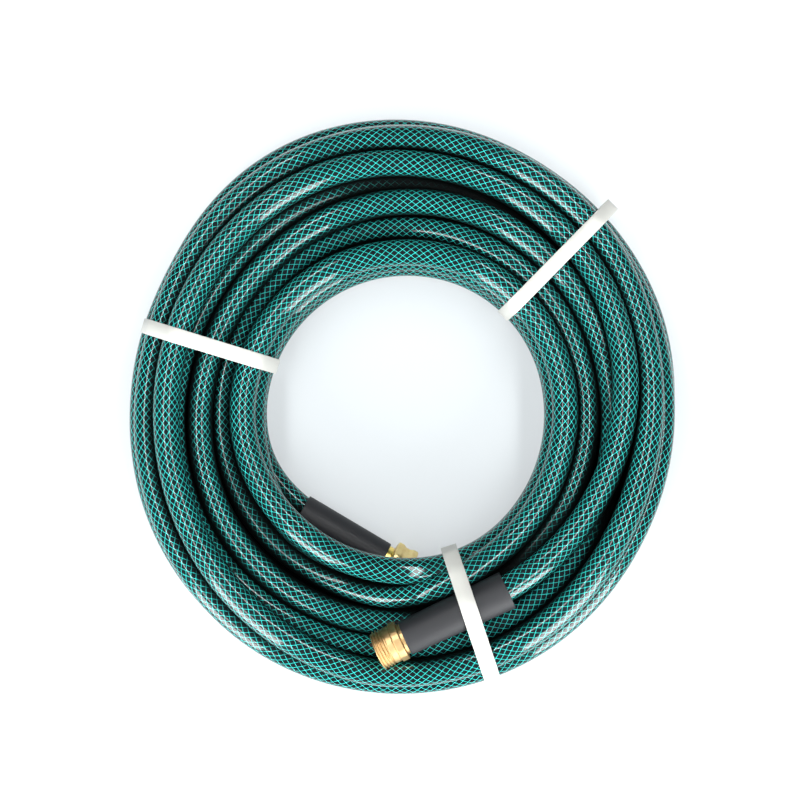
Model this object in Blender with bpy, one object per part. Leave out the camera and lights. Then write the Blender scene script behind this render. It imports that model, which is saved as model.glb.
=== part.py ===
"""Garden hose: fifteen metres of braided hose wound into a flat coil and held by three straps.

Metres, +Z up. The coil lies on its straps on the plane Z = 0, with the coil's middle over the
origin. The male end lies on top of the coil and the female end low inside it.
"""
import math

import bmesh
import bpy
import numpy as np
from mathutils import Matrix, Vector
from mathutils.geometry import convex_hull_2d

# Hose
HOSE_DIAMETER = 0.0185
HOSE_BORE_RADIUS = 0.00635

# Coil: radii of the middles of its outermost and innermost turns, one for each 30 degrees from +X towards +Y
OUTER_TURN_RADII = (0.1872, 0.1908, 0.1912, 0.1989, 0.1987, 0.1858,
                    0.1867, 0.1950, 0.1989, 0.1993, 0.1966, 0.1894)
INNER_TURN_RADII = (0.1104, 0.1080, 0.1049, 0.1022, 0.1019, 0.1038,
                    0.1074, 0.1122, 0.1174, 0.1194, 0.1198, 0.1146)
COIL_LAYERS = 3
COIL_TURNS_PER_LAYER = 5
COIL_LAYER_SINK = 0.0025
COIL_STATIONS = 48
TURN_ARC_STEP = 30

# Straps
STRAP_WIDTH = 0.0112
STRAP_THICKNESS = 0.0012
STRAP_ANGLES = {
    "strap_left": math.radians(162.9),
    "strap_right": math.radians(43.2),
    "strap_front": math.radians(-72.6),
}
STRAP_DIRECTIONS = 48

# Clearances
SEAT_GAP = 0.0003
SWIVEL_GAP = 0.0005
FLOOR_GAP = 0.0006
CHANNEL_LIFT = 0.030
CUT_OVERLAP = 0.005

# Sleeves over the hose behind each fitting
SLEEVE_FRONT_WALL = 0.0011
SLEEVE_REAR_WALL = 0.00395
SLEEVE_LIP = 0.0008
MALE_SLEEVE_LENGTH = 0.0780
FEMALE_SLEEVE_LENGTH = 0.0690

# Ferrules crimped round the hose inside the sleeves
FERRULE_WALL = 0.00115
FERRULE_HIDDEN_LENGTH = 0.0200
FERRULE_END_WALL = 0.0012
MALE_FERRULE_SHOWN = 0.0023
FEMALE_FERRULE_SHOWN = 0.0037

# Male coupling, from its free end towards the sleeve
THREAD_CREST_RADIUS = 0.01345
THREAD_ROOT_RADIUS = 0.01245
THREAD_PITCH = 0.0022
THREAD_RIDGES = 4
LAND_RADIUS = 0.0129
LAND_LENGTH = 0.0044
GROOVE_RADIUS = 0.0124
GROOVE_LENGTH = 0.0006
COLLAR_RADIUS = 0.0139
COLLAR_FLAT_RADIUS = 0.0133
COLLAR_LENGTH = 0.0050
COLLAR_SIDES = 6
SPIGOT_RADIUS = 0.0084
SPIGOT_LENGTH = 0.0009

# Female swivel: nut, stem and washer
NUT_CORNER_RADIUS = 0.0166
NUT_FLAT_RADIUS = 0.0152
NUT_WAIST_RADIUS = 0.0154
NUT_SIDES = 6
NUT_LENGTH = 0.0162
NUT_BACK_WALL = 0.0028
NUT_CHAMFER = 0.0009
NUT_THREAD_RADIUS = 0.0131
STEM_RADIUS = 0.0082
STEM_FLANGE_RADIUS = 0.0118
STEM_FLANGE_LENGTH = 0.0014
WASHER_RADIUS = 0.0126
WASHER_THICKNESS = 0.0028

# Where the fittings lie: the free end's centre and the heading from it towards the hose
MALE_END_XY = (-0.0182, -0.1695)
MALE_HEADING = math.radians(25.2)
MALE_REST_GAP = 0.0006
FEMALE_SLEEVE_FRONT_XY = (-0.0147, -0.1120)
FEMALE_HEADING = math.radians(150.5)
FEMALE_MOUTH_ROOM = 0.006

# The hose between the fittings and the coil: (angle, radius of its middle, layers above the lane it joins).
# From the male end it goes once round on top of the coil, and then sinks into its top layer.
MALE_TAIL_SPACING = 0.018
FEMALE_TAIL_SPACING = 0.010
TAIL_STRAIGHT_PAST_SLEEVE = 0.002
MALE_TAIL_ROUTE = (
    (math.radians(-50), 0.1475, 1.39),
    (math.radians(-38), 0.1473, 1.33),
    (math.radians(-25), 0.1474, 1.27),
    (math.radians(-10), 0.1505, 1.15),
    (math.radians(5), 0.1555, 1.08),
    (math.radians(20), 0.1581, 1.05),
    (math.radians(40), 0.1645, 1.05),
    (math.radians(60), 0.1665, 1.05),
    (math.radians(80), 0.1682, 1.05),
    (math.radians(100), 0.1695, 1.05),
    (math.radians(120), 0.1690, 1.05),
    (math.radians(140), 0.1660, 1.05),
    (math.radians(160), 0.1637, 1.05),
    (math.radians(180), 0.1641, 1.05),
    (math.radians(200), 0.1672, 1.05),
    (math.radians(220), 0.1735, 1.02),
    (math.radians(240), 0.1801, 0.77),
    (math.radians(255), 0.1860, 0.48),
    (math.radians(270), 0.1885, 0.35),
    (math.radians(285), 0.1885, 0.20),
    (math.radians(298), 0.1862, 0.19),
)
FEMALE_TAIL_ROUTE = (
    (math.radians(215.1), 0.1132, 0.22),
    (math.radians(205.2), 0.1163, 0.08),
    (math.radians(195.5), 0.1174, 0.0),
)

ROUND_SEGMENTS = 36
TUBE_SIDES = 16
TUBE_WALL_RISE = 0.01

HOSE_RADIUS = HOSE_DIAMETER / 2
COIL_LAYER_PITCH = HOSE_DIAMETER - COIL_LAYER_SINK
FERRULE_RADIUS = HOSE_RADIUS + SEAT_GAP + FERRULE_WALL
SLEEVE_FRONT_RADIUS = FERRULE_RADIUS + SEAT_GAP + SLEEVE_FRONT_WALL
SLEEVE_REAR_RADIUS = HOSE_RADIUS + SEAT_GAP + SLEEVE_REAR_WALL
NUT_AXIS_HEIGHT = NUT_CORNER_RADIUS + SWIVEL_GAP + FLOOR_GAP
UP = Vector((0, 0, 1))


def clear_scene():
    for item in list(bpy.data.objects):
        bpy.data.objects.remove(item, do_unlink=True)


def make_material(name, color, roughness, metallic=0.0):
    material = bpy.data.materials.new(name)
    material.use_nodes = True
    shader = material.node_tree.nodes["Principled BSDF"]
    shader.inputs["Base Color"].default_value = (*color, 1.0)
    shader.inputs["Roughness"].default_value = roughness
    shader.inputs["Metallic"].default_value = metallic
    return material


def add_object(name, mesh, material=None, smooth_angle=math.radians(35)):
    item = bpy.data.objects.new(name, mesh)
    bpy.context.collection.objects.link(item)
    if material:
        mesh.materials.append(material)
        mesh.shade_smooth()
        mesh.set_sharp_from_angle(angle=smooth_angle)
    return item


def closed_ring_mesh(name, rows):
    """A solid ring: rows of points, closed along each row and from the last row to the first."""
    bm = bmesh.new()
    verts = [[bm.verts.new(point) for point in row] for row in rows]
    for row, next_row in zip(verts, verts[1:] + verts[:1]):
        for i in range(len(row)):
            j = (i + 1) % len(row)
            bm.faces.new((row[i], row[j], next_row[j], next_row[i]))
    bmesh.ops.recalc_face_normals(bm, faces=bm.faces)
    mesh = bpy.data.meshes.new(name)
    bm.to_mesh(mesh)
    bm.free()
    return mesh


def hull_mesh(name, points):
    """The convex hull of points."""
    bm = bmesh.new()
    for point in points:
        bm.verts.new(point)
    made = bmesh.ops.convex_hull(bm, input=bm.verts)
    spare = {v for v in made["geom_interior"] + made["geom_unused"] if isinstance(v, bmesh.types.BMVert)}
    bmesh.ops.delete(bm, geom=list(spare), context="VERTS")
    bmesh.ops.recalc_face_normals(bm, faces=bm.faces)
    mesh = bpy.data.meshes.new(name)
    bm.to_mesh(mesh)
    bm.free()
    return mesh


def add_cutter(name, mesh):
    item = add_object(name, mesh)
    item.hide_render = True
    item.display_type = "WIRE"
    return item


def cut_away(target, cutter):
    step = target.modifiers.new(cutter.name, "BOOLEAN")
    step.operation = "DIFFERENCE"
    step.solver = "EXACT"
    step.object = cutter


def smooth_route(points, heading, spacing):
    """Points about spacing apart on the Catmull-Rom curve that sets off along heading."""
    knots = np.array([points[0], *points, points[-1]], dtype=float)
    knots[0] = knots[2] - 2 * np.linalg.norm(knots[2] - knots[1]) * np.array(heading)
    knots[-1] = 2 * knots[-2] - knots[-3]
    t = np.linspace(0, 1, 40, endpoint=False)[:, None]
    runs = []
    for a, b, c, d in zip(knots, knots[1:], knots[2:], knots[3:]):
        runs.append(0.5 * (2 * b + (c - a) * t + (2 * a - 5 * b + 4 * c - d) * t**2
                           + (3 * b - a - 3 * c + d) * t**3))
    fine = np.vstack([*runs, knots[-2:-1]])
    walked = np.concatenate([[0], np.cumsum(np.linalg.norm(np.diff(fine, axis=0), axis=1))])
    places = np.linspace(0, walked[-1], max(2, round(walked[-1] / spacing) + 1))
    return [Vector([np.interp(place, walked, fine[:, k]) for k in range(3)]) for place in places]


class Fitting:
    """The straight line of one fitting: points at a distance from its free end towards the hose."""

    def __init__(self, end, heading):
        self.end = Vector(end)
        self.along = Vector((math.cos(heading), math.sin(heading), 0))
        self.side = UP.cross(self.along)

    def at(self, distance, radius=0.0, turn=0.0):
        across = self.side * math.cos(turn) + UP * math.sin(turn)
        return self.end + self.along * distance + across * radius

    def matrix(self):
        return Matrix.LocRotScale(self.end, Matrix((self.along, self.side, UP)).transposed(), None)


def prism_factor(turn, sides, flat_radius, corner_radius):
    """How far out a many-sided outline with cut corners reaches, as a share of corner_radius."""
    sector = math.tau / sides
    off_flat = (turn % sector) - sector / 2
    return min(1.0, flat_radius / math.cos(off_flat) / corner_radius)


def add_turned(name, fitting, profile, material, sides=0, flat_radius=0.0, corner_radius=0.0):
    """A turned piece on a fitting's line: profile holds (distance, radius, is it many-sided there)."""
    rows = []
    for k in range(ROUND_SEGMENTS):
        turn = math.tau * k / ROUND_SEGMENTS
        factor = prism_factor(turn, sides, flat_radius, corner_radius) if sides else 1.0
        row = []
        for distance, radius, many_sided in profile:
            reach = min(radius, corner_radius * factor) if many_sided else radius
            row.append((distance, reach * math.cos(turn), reach * math.sin(turn)))
        rows.append(row)
    item = add_object(name, closed_ring_mesh(name, rows), material)
    item.matrix_world = fitting.matrix()
    return item


def outline_radius(radii, angle):
    """Trigonometric interpolation between radii that are evenly spread round the coil."""
    waves = np.fft.rfft(radii) / len(radii)
    total = waves[0].real
    for k in range(1, len(waves)):
        weight = 1.0 if 2 * k == len(radii) else 2.0
        total += weight * (waves[k] * np.exp(1j * k * angle)).real
    return float(total)


def layer_height(layer):
    return STRAP_THICKNESS + SEAT_GAP + HOSE_RADIUS + layer * COIL_LAYER_PITCH


def inner_edge(angle):
    return outline_radius(INNER_TURN_RADII, angle) - HOSE_RADIUS


def lane_half_width(angle):
    width = outline_radius(OUTER_TURN_RADII, angle) + HOSE_RADIUS - inner_edge(angle)
    return width / COIL_TURNS_PER_LAYER / 2


def lane_radius(lane, angle):
    return inner_edge(angle) + (2 * lane + 1) * lane_half_width(angle)


def polar_point(angle, radius, height):
    return Vector((radius * math.cos(angle), radius * math.sin(angle), height))


def turn_arcs():
    """The outer turns of the coil's section in order: (lane, layer, first degree, last degree)."""
    first, last = 0, COIL_TURNS_PER_LAYER - 1
    bottom, top = 0, COIL_LAYERS - 1
    arcs = [(last, top, -50, 150)]
    arcs += [(lane, top, 30, 150) for lane in range(last - 1, first, -1)]
    arcs += [(first, top, 30, 230)]
    arcs += [(first, layer, 130, 230) for layer in range(top - 1, bottom, -1)]
    arcs += [(first, bottom, 130, 330)]
    arcs += [(lane, bottom, 210, 330) for lane in range(first + 1, last)]
    arcs += [(last, bottom, 210, 410)]
    arcs += [(last, layer, 310, 410) for layer in range(bottom + 1, top)]
    return arcs


def coil_section(angle):
    """The coil's outline at one angle, as (radius, height): arcs of its outer turns."""
    points = []
    half = lane_half_width(angle)
    for lane, layer, start, end in turn_arcs():
        steps = round((end - start) / TURN_ARC_STEP)
        for k in range(steps + 1):
            around = math.radians(start + k * (end - start) / steps)
            points.append((lane_radius(lane, angle) + half * math.cos(around),
                           layer_height(layer) + HOSE_RADIUS * math.sin(around)))
    return points


def add_coil(material):
    rows = []
    for k in range(COIL_STATIONS):
        angle = math.tau * k / COIL_STATIONS
        rows.append([polar_point(angle, radius, height) for radius, height in coil_section(angle)])
    return add_object("hose_coil", closed_ring_mesh("hose_coil", rows), material)


def fitting_envelope(fitting, outline, clearance):
    """Points round a fitting, clearance outside its outline of (distance, radius)."""
    points = []
    widen = 1 / math.cos(math.pi / ROUND_SEGMENTS)
    for distance, radius in outline:
        for k in range(ROUND_SEGMENTS):
            points.append(fitting.at(distance, (radius + clearance) * widen, math.tau * k / ROUND_SEGMENTS))
    return points


def cut_fitting_channel(coil, name, fitting, outline, clearance, lift):
    """A channel in the coil where a fitting lies, open in the directions of lift."""
    points = fitting_envelope(fitting, outline, clearance)
    swept = [point + shift for shift in (Vector(), *lift) for point in points]
    cut_away(coil, add_cutter(name, hull_mesh(name, swept)))


def cut_tail_channel(coil, name, route, opens):
    """A channel along a tail, a seat gap wider and longer than it, open upwards (1) or downwards (-1)."""
    radius = (HOSE_RADIUS + SEAT_GAP) / math.cos(math.pi / TUBE_SIDES)
    points = [point.copy() for point in route]
    points[-1] += (points[-1] - points[-2]).normalized() * SEAT_GAP
    bm = bmesh.new()
    rings = []
    for i, point in enumerate(points):
        before = point - points[i - 1] if i else points[1] - point
        after = points[i + 1] - point if i + 1 < len(points) else before
        ahead = (before.normalized() + after.normalized()).normalized()
        side = UP.cross(ahead).normalized()
        over = ahead.cross(side)
        ring = []
        for k in range(TUBE_SIDES):
            turn = math.tau * k / TUBE_SIDES
            rise = math.sin(turn)
            lift = CHANNEL_LIFT * opens if rise * opens > TUBE_WALL_RISE else 0.0
            ring.append(bm.verts.new(point + radius * (side * math.cos(turn) + over * rise) + UP * lift))
        rings.append(ring)
    for ring, next_ring in zip(rings, rings[1:]):
        for k in range(TUBE_SIDES):
            j = (k + 1) % TUBE_SIDES
            bm.faces.new((ring[k], ring[j], next_ring[j], next_ring[k]))
    bm.faces.new(rings[0])
    bm.faces.new(rings[-1])
    bmesh.ops.recalc_face_normals(bm, faces=bm.faces)
    mesh = bpy.data.meshes.new(name)
    bm.to_mesh(mesh)
    bm.free()
    cut_away(coil, add_cutter(name, mesh))


def tail_route(fitting, start, rear, places, layer, spacing):
    """Straight from inside the fitting to past its sleeve, then through (angle, radius, layers up)."""
    leaves = fitting.at(rear + TAIL_STRAIGHT_PAST_SLEEVE)
    points = [leaves] + [polar_point(angle, radius, layer_height(layer + up)) for angle, radius, up in places]
    return [fitting.at(start)] + smooth_route(points, fitting.along, spacing)


def add_tail(name, route, material):
    curve = bpy.data.curves.new(name, "CURVE")
    curve.dimensions = "3D"
    curve.bevel_depth = HOSE_RADIUS
    curve.bevel_resolution = 4
    curve.use_fill_caps = True
    spline = curve.splines.new("POLY")
    spline.points.add(len(route) - 1)
    for knot, point in zip(spline.points, route):
        knot.co = (*point, 1)
    spline.use_smooth = True
    curve.materials.append(material)
    item = bpy.data.objects.new(name, curve)
    bpy.context.collection.objects.link(item)
    return item


def add_sleeve(name, fitting, front, length, material):
    """A tapered sleeve over the hose, with a wider bore at its front for the ferrule."""
    rear = front + length
    ferrule_end = front + FERRULE_HIDDEN_LENGTH + SEAT_GAP
    bore = HOSE_RADIUS + SEAT_GAP
    wide_bore = FERRULE_RADIUS + SEAT_GAP
    profile = [
        (front, wide_bore, False),
        (front, SLEEVE_FRONT_RADIUS - SLEEVE_LIP, False),
        (front + SLEEVE_LIP, SLEEVE_FRONT_RADIUS, False),
        (rear - SLEEVE_LIP, SLEEVE_REAR_RADIUS, False),
        (rear, SLEEVE_REAR_RADIUS - SLEEVE_LIP, False),
        (rear, bore, False),
        (ferrule_end, bore, False),
        (ferrule_end, wide_bore, False),
    ]
    return add_turned(name, fitting, profile, material)


def add_ferrule(name, fitting, front, shown, material):
    """A thin cup over the hose's end, with a hole in its end wall for the spigot."""
    rear = front + shown + FERRULE_HIDDEN_LENGTH
    bore = HOSE_RADIUS + SEAT_GAP
    hole = SPIGOT_RADIUS + SEAT_GAP
    profile = [
        (front, hole, False),
        (front, FERRULE_RADIUS, False),
        (rear, FERRULE_RADIUS, False),
        (rear, bore, False),
        (front + FERRULE_END_WALL, bore, False),
        (front + FERRULE_END_WALL, hole, False),
    ]
    return add_turned(name, fitting, profile, material)


def male_thread_length():
    return THREAD_RIDGES * THREAD_PITCH


def male_coupling_length():
    return male_thread_length() + LAND_LENGTH + GROOVE_LENGTH + COLLAR_LENGTH


def add_male_coupling(fitting, material):
    profile = [(0.0, HOSE_BORE_RADIUS, False), (0.0, THREAD_ROOT_RADIUS, False)]
    for ridge in range(THREAD_RIDGES):
        start = ridge * THREAD_PITCH
        profile.append((start + 0.30 * THREAD_PITCH, THREAD_CREST_RADIUS, False))
        profile.append((start + 0.55 * THREAD_PITCH, THREAD_CREST_RADIUS, False))
        profile.append((start + THREAD_PITCH, THREAD_ROOT_RADIUS, False))
    land_start = male_thread_length() + SEAT_GAP
    land_end = male_thread_length() + LAND_LENGTH
    groove_end = land_end + GROOVE_LENGTH
    collar_end = groove_end + COLLAR_LENGTH
    profile += [
        (land_start, LAND_RADIUS, False),
        (land_end, LAND_RADIUS, False),
        (land_end, GROOVE_RADIUS, False),
        (groove_end, GROOVE_RADIUS, False),
        (groove_end, COLLAR_RADIUS, True),
        (collar_end, COLLAR_RADIUS, True),
        (collar_end, SPIGOT_RADIUS, False),
        (collar_end + SPIGOT_LENGTH, SPIGOT_RADIUS, False),
        (collar_end + SPIGOT_LENGTH, HOSE_BORE_RADIUS, False),
    ]
    return add_turned("coupling_male", fitting, profile, material,
                      COLLAR_SIDES, COLLAR_FLAT_RADIUS, COLLAR_RADIUS)


def swivel_stem_back():
    """Where the stem meets the ferrule, from the nut's mouth."""
    return NUT_LENGTH + SWIVEL_GAP


def stem_flange_start():
    return NUT_LENGTH - NUT_BACK_WALL - SWIVEL_GAP - STEM_FLANGE_LENGTH


def add_swivel_nut(fitting, material):
    mouth, back = 0.0, NUT_LENGTH
    pocket_end = NUT_LENGTH - NUT_BACK_WALL
    quarter = NUT_LENGTH / 4
    profile = [
        (mouth, NUT_THREAD_RADIUS, False),
        (mouth, NUT_CORNER_RADIUS - NUT_CHAMFER, True),
        (mouth + NUT_CHAMFER, NUT_CORNER_RADIUS, True),
        (mouth + quarter, NUT_CORNER_RADIUS, True),
        (mouth + 1.6 * quarter, NUT_WAIST_RADIUS, True),
        (mouth + 2.4 * quarter, NUT_WAIST_RADIUS, True),
        (mouth + 3 * quarter, NUT_CORNER_RADIUS, True),
        (back - NUT_CHAMFER, NUT_CORNER_RADIUS, True),
        (back, NUT_CORNER_RADIUS - NUT_CHAMFER, True),
        (back, STEM_RADIUS + SWIVEL_GAP, False),
        (pocket_end, STEM_RADIUS + SWIVEL_GAP, False),
        (pocket_end, NUT_THREAD_RADIUS, False),
    ]
    return add_turned("swivel_nut", fitting, profile, material,
                      NUT_SIDES, NUT_FLAT_RADIUS, NUT_CORNER_RADIUS)


def add_swivel_stem(fitting, material):
    start = stem_flange_start()
    back = swivel_stem_back()
    profile = [
        (start, HOSE_BORE_RADIUS, False),
        (start, STEM_FLANGE_RADIUS, False),
        (start + STEM_FLANGE_LENGTH, STEM_FLANGE_RADIUS, False),
        (start + STEM_FLANGE_LENGTH, STEM_RADIUS, False),
        (back + SPIGOT_LENGTH, STEM_RADIUS, False),
        (back + SPIGOT_LENGTH, HOSE_BORE_RADIUS, False),
    ]
    return add_turned("swivel_stem", fitting, profile, material)


def add_washer(fitting, material):
    end = stem_flange_start() - SEAT_GAP
    start = end - WASHER_THICKNESS
    profile = [
        (start, HOSE_BORE_RADIUS, False),
        (start, WASHER_RADIUS, False),
        (end, WASHER_RADIUS, False),
        (end, HOSE_BORE_RADIUS, False),
    ]
    return add_turned("washer", fitting, profile, material)


def strap_hull(angle, extra_points):
    """The (radius, height) points that a strap is drawn round, in the upright plane at angle."""
    points = list(extra_points)
    half_step = math.pi / COIL_STATIONS
    spread = STRAP_WIDTH / 2 / inner_edge(angle) + half_step
    for shift in (-spread, 0, spread):
        section = coil_section(angle + shift)
        innermost = min(radius for radius, _ in section)
        for radius, height in section:
            facet = radius * math.cos(half_step) if radius < innermost + HOSE_RADIUS else radius
            points.append((facet * math.cos(shift), height))
    hull = [points[i] for i in convex_hull_2d(points)]
    return hull


def add_strap(name, angle, material, extra_points=()):
    """A closed band: rows of its four corners in each direction round the coil's section."""
    hull = strap_hull(angle, extra_points)
    outward = Vector((math.cos(angle), math.sin(angle), 0))
    across = UP.cross(outward)
    rows = []
    for k in range(STRAP_DIRECTIONS):
        turn = math.tau * (k + 0.5) / STRAP_DIRECTIONS
        normal = (math.cos(turn), math.sin(turn))
        rests = max(hull, key=lambda p: p[0] * normal[0] + p[1] * normal[1])
        row = []
        for offset, side in ((SEAT_GAP, -1), (SEAT_GAP, 1),
                             (SEAT_GAP + STRAP_THICKNESS, 1), (SEAT_GAP + STRAP_THICKNESS, -1)):
            radius = rests[0] + offset * normal[0]
            height = rests[1] + offset * normal[1] / math.cos(math.pi / STRAP_DIRECTIONS)
            row.append(outward * radius + UP * height + across * (side * STRAP_WIDTH / 2))
        rows.append(row)
    return add_object(name, closed_ring_mesh(name, rows), material)


def sleeve_crossing(fitting, front, angle):
    """Where the sleeve's line crosses the upright plane at angle, and the sleeve's outline there."""
    outward = Vector((math.cos(angle), math.sin(angle), 0))
    across = UP.cross(outward)
    reach = -fitting.end.dot(across) / fitting.along.dot(across)
    centre = fitting.at(reach)
    stretch = 1 / abs(fitting.along.dot(across))
    share = (reach + STRAP_WIDTH - front) / MALE_SLEEVE_LENGTH
    radius = SLEEVE_FRONT_RADIUS + (SLEEVE_REAR_RADIUS - SLEEVE_FRONT_RADIUS) * share
    drift = STRAP_WIDTH / 2 * abs(fitting.along.dot(outward))
    points = []
    for k in range(ROUND_SEGMENTS):
        turn = math.tau * k / ROUND_SEGMENTS
        for shift in (-drift, drift):
            points.append((centre.dot(outward) + shift + radius * stretch * math.cos(turn),
                           centre.z + radius * math.sin(turn)))
    return points


def tube_crossing(route, angle):
    """The hose's outline over a strap's width, where its route crosses the upright plane at angle."""
    outward = Vector((math.cos(angle), math.sin(angle), 0))
    across = UP.cross(outward)
    points = []
    for offset in (-STRAP_WIDTH / 2, 0, STRAP_WIDTH / 2):
        for start, end in zip(route, route[1:]):
            before, after = start.dot(across) - offset, end.dot(across) - offset
            if before * after > 0 or start.dot(outward) < 0:
                continue
            centre = start.lerp(end, before / (before - after))
            stretch = 1 / abs((end - start).normalized().dot(across))
            for k in range(ROUND_SEGMENTS):
                turn = math.tau * k / ROUND_SEGMENTS
                points.append((centre.dot(outward) + HOSE_RADIUS * stretch * math.cos(turn),
                               centre.z + HOSE_RADIUS * math.sin(turn)))
    return points


def build():
    clear_scene()
    hose = make_material("hose", (0.012, 0.115, 0.098), 0.22)
    black = make_material("sleeve_black", (0.030, 0.031, 0.034), 0.48)
    brass = make_material("brass", (0.78, 0.55, 0.24), 0.28, 1.0)
    cast_brass = make_material("cast_brass", (0.62, 0.46, 0.22), 0.45, 1.0)
    rubber = make_material("washer_rubber", (0.02, 0.02, 0.02), 0.7)
    white = make_material("strap_white", (0.86, 0.86, 0.83), 0.42)

    top_layer = COIL_LAYERS - 1
    male_height = layer_height(top_layer) + HOSE_RADIUS + COLLAR_RADIUS + MALE_REST_GAP
    male = Fitting((*MALE_END_XY, male_height), MALE_HEADING)
    female_front = Fitting((*FEMALE_SLEEVE_FRONT_XY, NUT_AXIS_HEIGHT), FEMALE_HEADING)
    female_nose = swivel_stem_back() + SEAT_GAP + FEMALE_FERRULE_SHOWN
    female = Fitting(female_front.at(-female_nose), FEMALE_HEADING)

    male_ferrule = male_coupling_length() + SEAT_GAP
    male_sleeve = male_ferrule + MALE_FERRULE_SHOWN
    add_male_coupling(male, brass)
    add_ferrule("ferrule_male", male, male_ferrule, MALE_FERRULE_SHOWN, brass)
    add_sleeve("sleeve_male", male, male_sleeve, MALE_SLEEVE_LENGTH, black)

    female_ferrule = swivel_stem_back() + SEAT_GAP
    add_swivel_nut(female, cast_brass)
    add_swivel_stem(female, brass)
    add_washer(female, rubber)
    add_ferrule("ferrule_female", female, female_ferrule, FEMALE_FERRULE_SHOWN, brass)
    add_sleeve("sleeve_female", female, female_nose, FEMALE_SLEEVE_LENGTH, black)

    male_rear = male_sleeve + MALE_SLEEVE_LENGTH
    male_start = male_ferrule + FERRULE_END_WALL + SEAT_GAP
    male_route = tail_route(male, male_start, male_rear, MALE_TAIL_ROUTE, top_layer, MALE_TAIL_SPACING)
    add_tail("hose_tail_male", male_route, hose)

    female_rear = female_nose + FEMALE_SLEEVE_LENGTH
    female_start = female_ferrule + FERRULE_END_WALL + SEAT_GAP
    female_route = tail_route(female, female_start, female_rear, FEMALE_TAIL_ROUTE, 0, FEMALE_TAIL_SPACING)
    add_tail("hose_tail_female", female_route, hose)

    coil = add_coil(hose)
    inwards = (-UP * CHANNEL_LIFT, female.side * -CHANNEL_LIFT, (-UP - female.side) * CHANNEL_LIFT)
    nut_outline = [(-FEMALE_MOUTH_ROOM, NUT_CORNER_RADIUS), (female_nose, NUT_CORNER_RADIUS)]
    sleeve_outline = [(female_nose - CUT_OVERLAP, SLEEVE_FRONT_RADIUS),
                      (female_rear + SEAT_GAP, SLEEVE_REAR_RADIUS)]
    cut_fitting_channel(coil, "cut_swivel", female, nut_outline, SWIVEL_GAP, inwards)
    cut_fitting_channel(coil, "cut_female_sleeve", female, sleeve_outline, SEAT_GAP, inwards)
    cut_tail_channel(coil, "cut_male_tail", [male.at(male_rear - CUT_OVERLAP), *male_route[1:]], 1)
    cut_tail_channel(coil, "cut_female_tail", [female.at(female_rear - CUT_OVERLAP), *female_route[1:]], -1)

    for name, angle in STRAP_ANGLES.items():
        lies_over = tube_crossing(male_route, angle)
        if name == "strap_front":
            lies_over += sleeve_crossing(male, male_sleeve, angle)
        add_strap(name, angle, white, lies_over)


build()
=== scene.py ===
"""Garden hose: the coiled braided hose, its brass ends, black sleeves and white bands, dressed for a render.

Every piece is a surface worked out on a grid of two parameters, or a profile carried along a path.
"""
import math

import bpy
import numpy as np
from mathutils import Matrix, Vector


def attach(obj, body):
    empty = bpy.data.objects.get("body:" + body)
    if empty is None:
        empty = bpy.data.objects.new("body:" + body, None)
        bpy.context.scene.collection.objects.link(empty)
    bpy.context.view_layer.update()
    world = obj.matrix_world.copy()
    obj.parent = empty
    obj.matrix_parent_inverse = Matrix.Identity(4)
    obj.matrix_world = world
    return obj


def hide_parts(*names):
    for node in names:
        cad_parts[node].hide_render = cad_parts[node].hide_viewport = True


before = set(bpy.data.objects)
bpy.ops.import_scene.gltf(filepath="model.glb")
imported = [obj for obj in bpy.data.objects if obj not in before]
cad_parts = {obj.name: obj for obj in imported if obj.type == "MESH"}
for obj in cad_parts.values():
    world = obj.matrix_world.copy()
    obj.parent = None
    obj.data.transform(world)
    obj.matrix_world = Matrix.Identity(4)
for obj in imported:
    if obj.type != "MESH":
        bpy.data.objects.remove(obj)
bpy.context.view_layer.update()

# The camera looks straight down on the coil
CAMERA_PLACE = (-0.0024, 0.0039, 0.900)
CAMERA_SENSOR = 0.036
IMAGE_WIDTH_AT_MALE_END = 0.552

# The hose
HOSE_DIAMETER = 0.0185
HOSE_RADIUS = HOSE_DIAMETER / 2
HOSE_SIDES = 24
HOSE_RING_STEP = 0.0038
YARNS_EACH_WAY = 13
YARN_PITCH = 0.0059
FLOOR_GAP = 0.0015

# The male end: its free face, its heading towards the hose, and its lengths
MALE_END = (-0.0182, -0.1695, 0.0665)
MALE_HEADING = math.radians(25.2)
THREAD_LENGTH = 0.0088
THREAD_PITCH = 0.0022
THREAD_CREST = 0.01345
THREAD_ROOT = 0.0121
THREAD_SHOULDER = 0.0004
LAND_RADIUS = 0.0129
LAND_END = 0.0132
GROOVE_RADIUS = 0.0124
GROOVE_END = 0.0138
COLLAR_RADIUS = 0.0139
COLLAR_FLAT = 0.0133
COLLAR_END = 0.0188
# The ridge of its thread starts and ends this far inside the thread's length, and grows and shrinks over a
# stretch; a point of the profile takes part in it from this far under the root
RIDGE_START, RIDGE_GROWS = 0.0002, 0.0006
RIDGE_END, RIDGE_SHRINKS = 0.0001, 0.0008
RIDGE_REACH = 0.0001
# Length over which one diameter steps to the next, and how far above the groove the collar's flats begin
DIAMETER_STEP = 0.0001
COLLAR_CUT = 0.0008
MALE_FERRULE_FRONT = 0.0191
MALE_SLEEVE_FRONT = 0.0214
MALE_SLEEVE_REAR = 0.0994
MALE_HOSE_START = 0.0206

# The female end: the nut's mouth, its heading towards the hose, and its lengths
FEMALE_END = (0.003316, -0.122193, 0.0177)
FEMALE_HEADING = math.radians(150.5)
NUT_LENGTH = 0.0162
NUT_CORNER = 0.0166
NUT_FLAT = 0.0152
NUT_WAIST = 0.0154
NUT_THREAD = 0.0131
NUT_THREAD_HEIGHT = 0.0008
NUT_THREAD_END = 0.0095
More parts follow.
